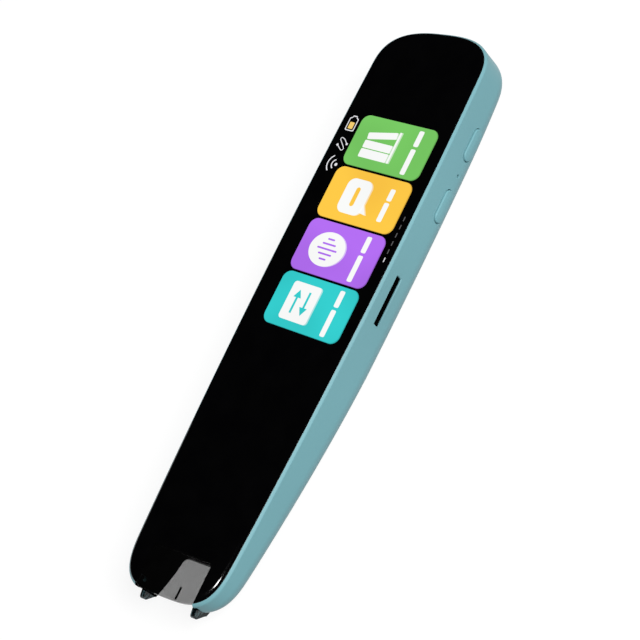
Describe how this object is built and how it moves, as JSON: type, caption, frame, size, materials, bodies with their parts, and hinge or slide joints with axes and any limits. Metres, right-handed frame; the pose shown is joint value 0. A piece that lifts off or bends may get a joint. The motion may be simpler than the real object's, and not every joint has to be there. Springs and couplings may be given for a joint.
{
  "type": "handheld scanning translator",
  "caption": "Slim hand-held scanning translator pen with a full-length cover glass, side buttons, a card slot, a loudspeaker grille and a sprung smoked scan guide at its tip.",
  "frame": {"origin": "on the flat of the back that the pen lies on, under the middle of the cover glass", "axes": "+Y along the pen away from the scanning tip, +Z out of the cover glass, +X towards the side with the buttons and the card slot"},
  "size_m": [0.0351, 0.1523, 0.014],
  "materials": {
    "housing": "satin teal paint on moulded plastic",
    "cover_glass": "polished cover glass",
    "black_print": "black print under glass",
    "tape": "foam tape",
    "display": "switched-on display",
    "backlight": "white reflector film",
    "flex": "amber flexible circuit",
    "frame_alloy": "bead-blasted",
    "steel": "plain",
    "board": "green solder mask",
    "chips": "moulded packages",
    "ceramic": "ceramic",
    "cell": "laminated foil pouch",
    "foam": "closed-cell foam",
    "lead": "insulated lead",
    "speaker_frame": "moulded frame",
    "cone": "film diaphragm",
    "dust_mesh": "woven dust mesh",
    "gasket": "soft gasket",
    "switch": "tactile switch",
    "brass_can": "gold-plated can",
    "inky_plastic": "black moulding",
    "clear_plastic": "clear polished plastic",
    "lens": "coated lens",
    "lamp": "white lamp with phosphor",
    "button_teal": "satin teal paint on moulded plastic",
    "smoke": "smoked polycarbonate",
    "smoke_lens": "smoked clear polycarbonate",
    "mark": "printed line"
  },
  "bodies": {
    "body": {"rear_housing": "housing", "cover_glass": "cover_glass", "print_mask": "black_print", "glass_tape": "tape", "display_panel": "display", "backlight": "backlight", "display_flex": "flex", "mid_frame": "frame_alloy", "frame_screws": "steel", "main_board": "board", "board_chips": "chips", "shield_can": "steel", "antenna": "ceramic", "battery": "cell", "battery_foam": "foam", "battery_lead": "lead", "speaker": "speaker_frame", "speaker_cone": "cone", "speaker_gasket": "gasket", "speaker_mesh": "dust_mesh", "side_key_board": "board", "key_switches": "switch", "microphone": "brass_can", "mic_gasket": "gasket", "card_socket": "steel", "usb_shell": "steel", "usb_tongue": "inky_plastic", "scan_chamber": "inky_plastic", "scan_window": "clear_plastic", "camera_module": "chips", "camera_lens": "lens", "scan_leds": "lamp", "tip_board": "board", "tip_flex": "flex", "switch_board": "board", "tip_switch": "switch"},
    "upper_button": {"upper_button": "button_teal"},
    "lower_button": {"lower_button": "button_teal"},
    "scan_guide": {"scan_guide": "smoke", "tip_lens": "smoke_lens", "aim_mark": "mark"}
  },
  "joints": [
    {"name": "upper_button_press", "type": "slide", "parent": "body", "child": "upper_button", "axis": [-1, 0, 0], "range_m": [0, 0.0004], "stiffness_N_per_m": 1500, "springref_m": -0.0002},
    {"name": "lower_button_press", "type": "slide", "parent": "body", "child": "lower_button", "axis": [-1, 0, 0], "range_m": [0, 0.0004], "stiffness_N_per_m": 1500, "springref_m": -0.0002},
    {"name": "guide_press", "type": "slide", "parent": "body", "child": "scan_guide", "axis": [0, 1, 0], "range_m": [0, 0.0005], "stiffness_N_per_m": 1500, "springref_m": -0.0002}
  ]
}
